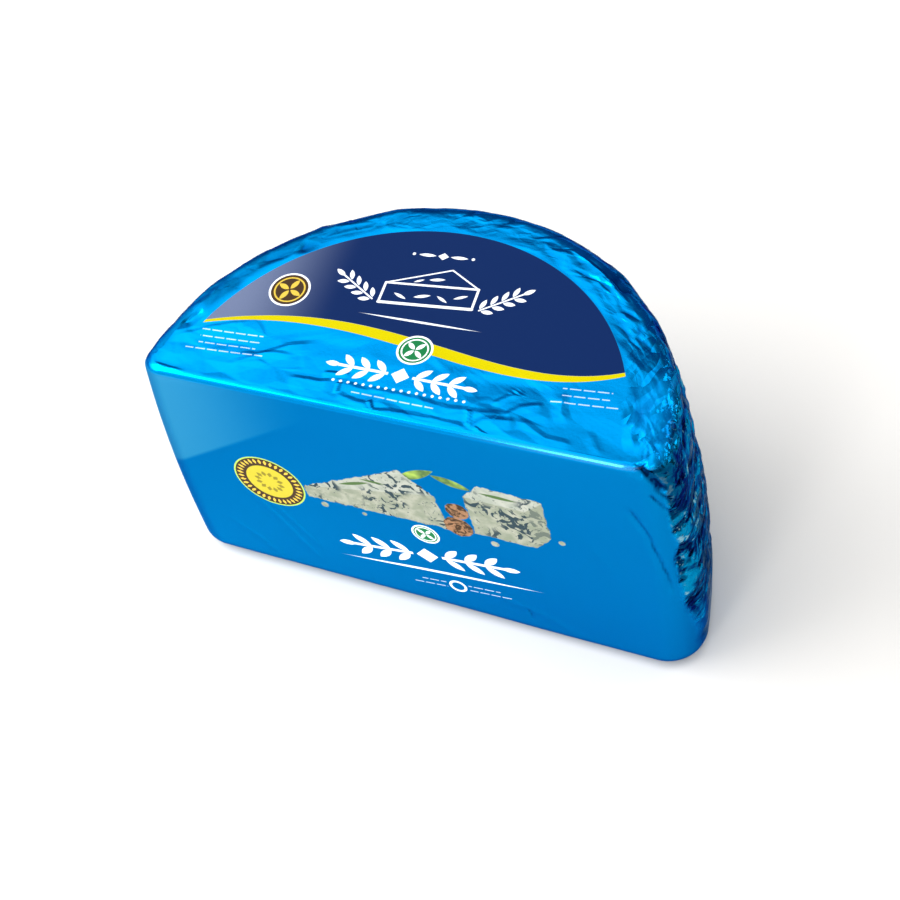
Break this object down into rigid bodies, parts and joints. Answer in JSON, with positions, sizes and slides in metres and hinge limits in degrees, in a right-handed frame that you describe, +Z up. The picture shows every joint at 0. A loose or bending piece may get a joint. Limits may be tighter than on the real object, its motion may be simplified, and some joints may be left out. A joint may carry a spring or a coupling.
{
  "type": "foil-wrapped half wheel of blue cheese",
  "caption": "Half wheel of blue cheese shut in printed blue foil, with a smooth flat front over the cut face and a crumpled round rim, lying on its flat base.",
  "frame": {"origin": "middle of the bounding rectangle of the flat base, on the surface that the half wheel lies on", "axes": "+X along the cut face, to the right as seen from the front; +Y from the cut face to the back of the rim; +Z up"},
  "size_m": [0.1994, 0.1062, 0.1153],
  "materials": {
    "printed_foil": "satin blue lacquered foil with printed fields of colour"
  },
  "bodies": {
    "root": {"wrapped_half_wheel": "printed_foil"}
  },
  "joints": []
}
